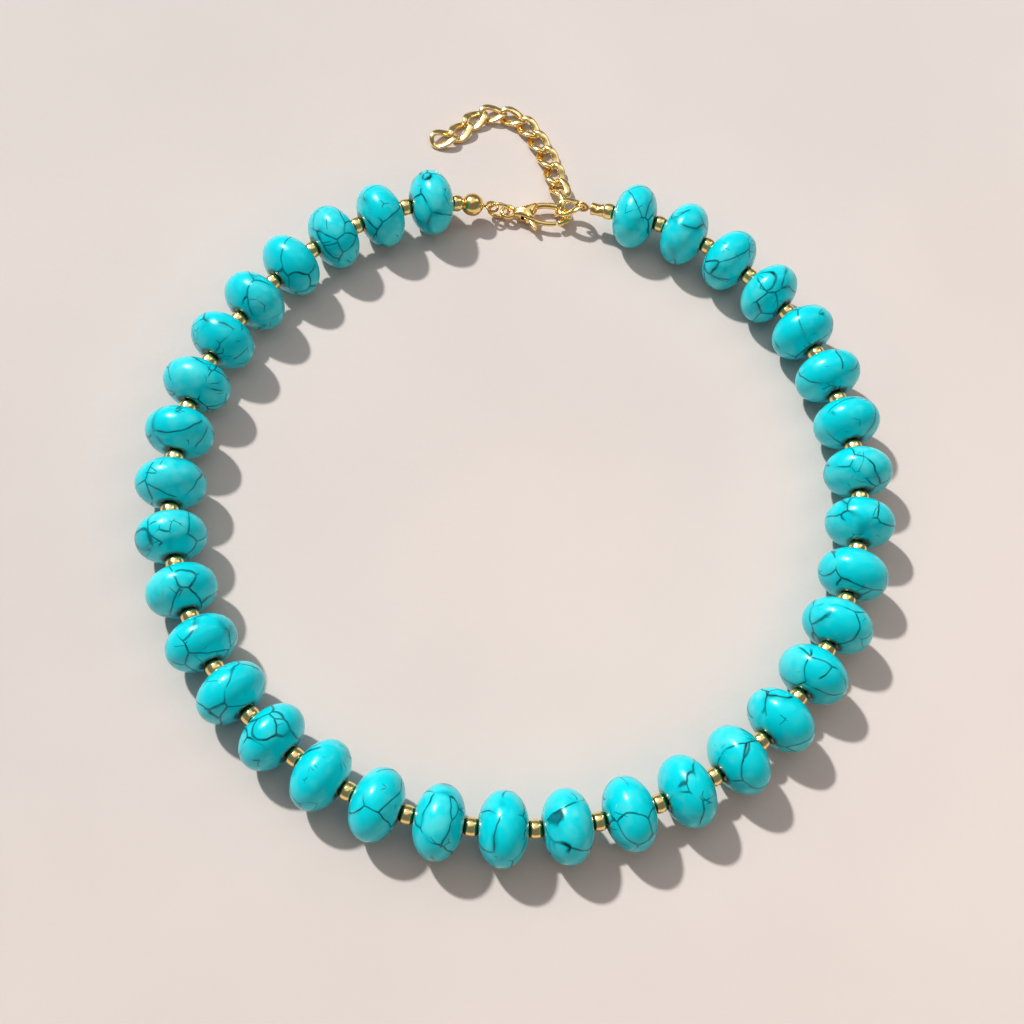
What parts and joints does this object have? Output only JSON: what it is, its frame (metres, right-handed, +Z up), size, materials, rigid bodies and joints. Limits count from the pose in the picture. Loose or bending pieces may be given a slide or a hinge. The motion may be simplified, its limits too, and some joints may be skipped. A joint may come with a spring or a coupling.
{
  "type": "beaded necklace",
  "caption": "Short necklace of polished turquoise rondelle stone beads with small gold spacers, closed by a lobster clasp on a curb extender chain, lying in a ring",
  "frame": {"origin": "on the surface that the necklace lies on, under the middle of its bounding box", "axes": "+Z up from the surface and across the beads' ring, the shortest extent; +Y from the front of the ring through the clasp and along the extender chain, the longest extent; +X completes a right-handed frame, and the crimp tube's end of the string is at +X"},
  "size_m": [0.1304, 0.1544, 0.012],
  "materials": {
    "dyed_howlite": "howlite dyed turquoise and tumbled to a high polish, with dark veins",
    "gold_plate": "brass with a polished pale gold plating"
  },
  "bodies": {
    "necklace": {"bead_01": "dyed_howlite", "bead_02": "dyed_howlite", "bead_03": "dyed_howlite", "bead_04": "dyed_howlite", "bead_05": "dyed_howlite", "bead_06": "dyed_howlite", "bead_07": "dyed_howlite", "bead_08": "dyed_howlite", "bead_09": "dyed_howlite", "bead_10": "dyed_howlite", "bead_11": "dyed_howlite", "bead_12": "dyed_howlite", "bead_13": "dyed_howlite", "bead_14": "dyed_howlite", "bead_15": "dyed_howlite", "bead_16": "dyed_howlite", "bead_17": "dyed_howlite", "bead_18": "dyed_howlite", "bead_19": "dyed_howlite", "bead_20": "dyed_howlite", "bead_21": "dyed_howlite", "bead_22": "dyed_howlite", "bead_23": "dyed_howlite", "bead_24": "dyed_howlite", "bead_25": "dyed_howlite", "bead_26": "dyed_howlite", "bead_27": "dyed_howlite", "bead_28": "dyed_howlite", "bead_29": "dyed_howlite", "bead_30": "dyed_howlite", "bead_31": "dyed_howlite", "bead_32": "dyed_howlite", "bead_33": "dyed_howlite", "bead_34": "dyed_howlite", "bead_35": "dyed_howlite", "wire_and_spacers": "gold_plate", "crimp_ball": "gold_plate", "crimp_tube": "gold_plate", "jump_ring": "gold_plate", "extender_chain": "gold_plate", "clasp_body": "gold_plate", "clasp_rivet": "gold_plate"},
    "lever": {"clasp_lever": "gold_plate"}
  },
  "joints": [
    {"name": "lever_hinge", "type": "hinge", "parent": "necklace", "child": "lever", "pos_m": [-0.0003, 0.04937, 0.00187], "axis": [0, 0, 1], "range_deg": [0, 18], "stiffness_Nm_per_rad": 0.002, "springref_deg": -5.73}
  ]
}
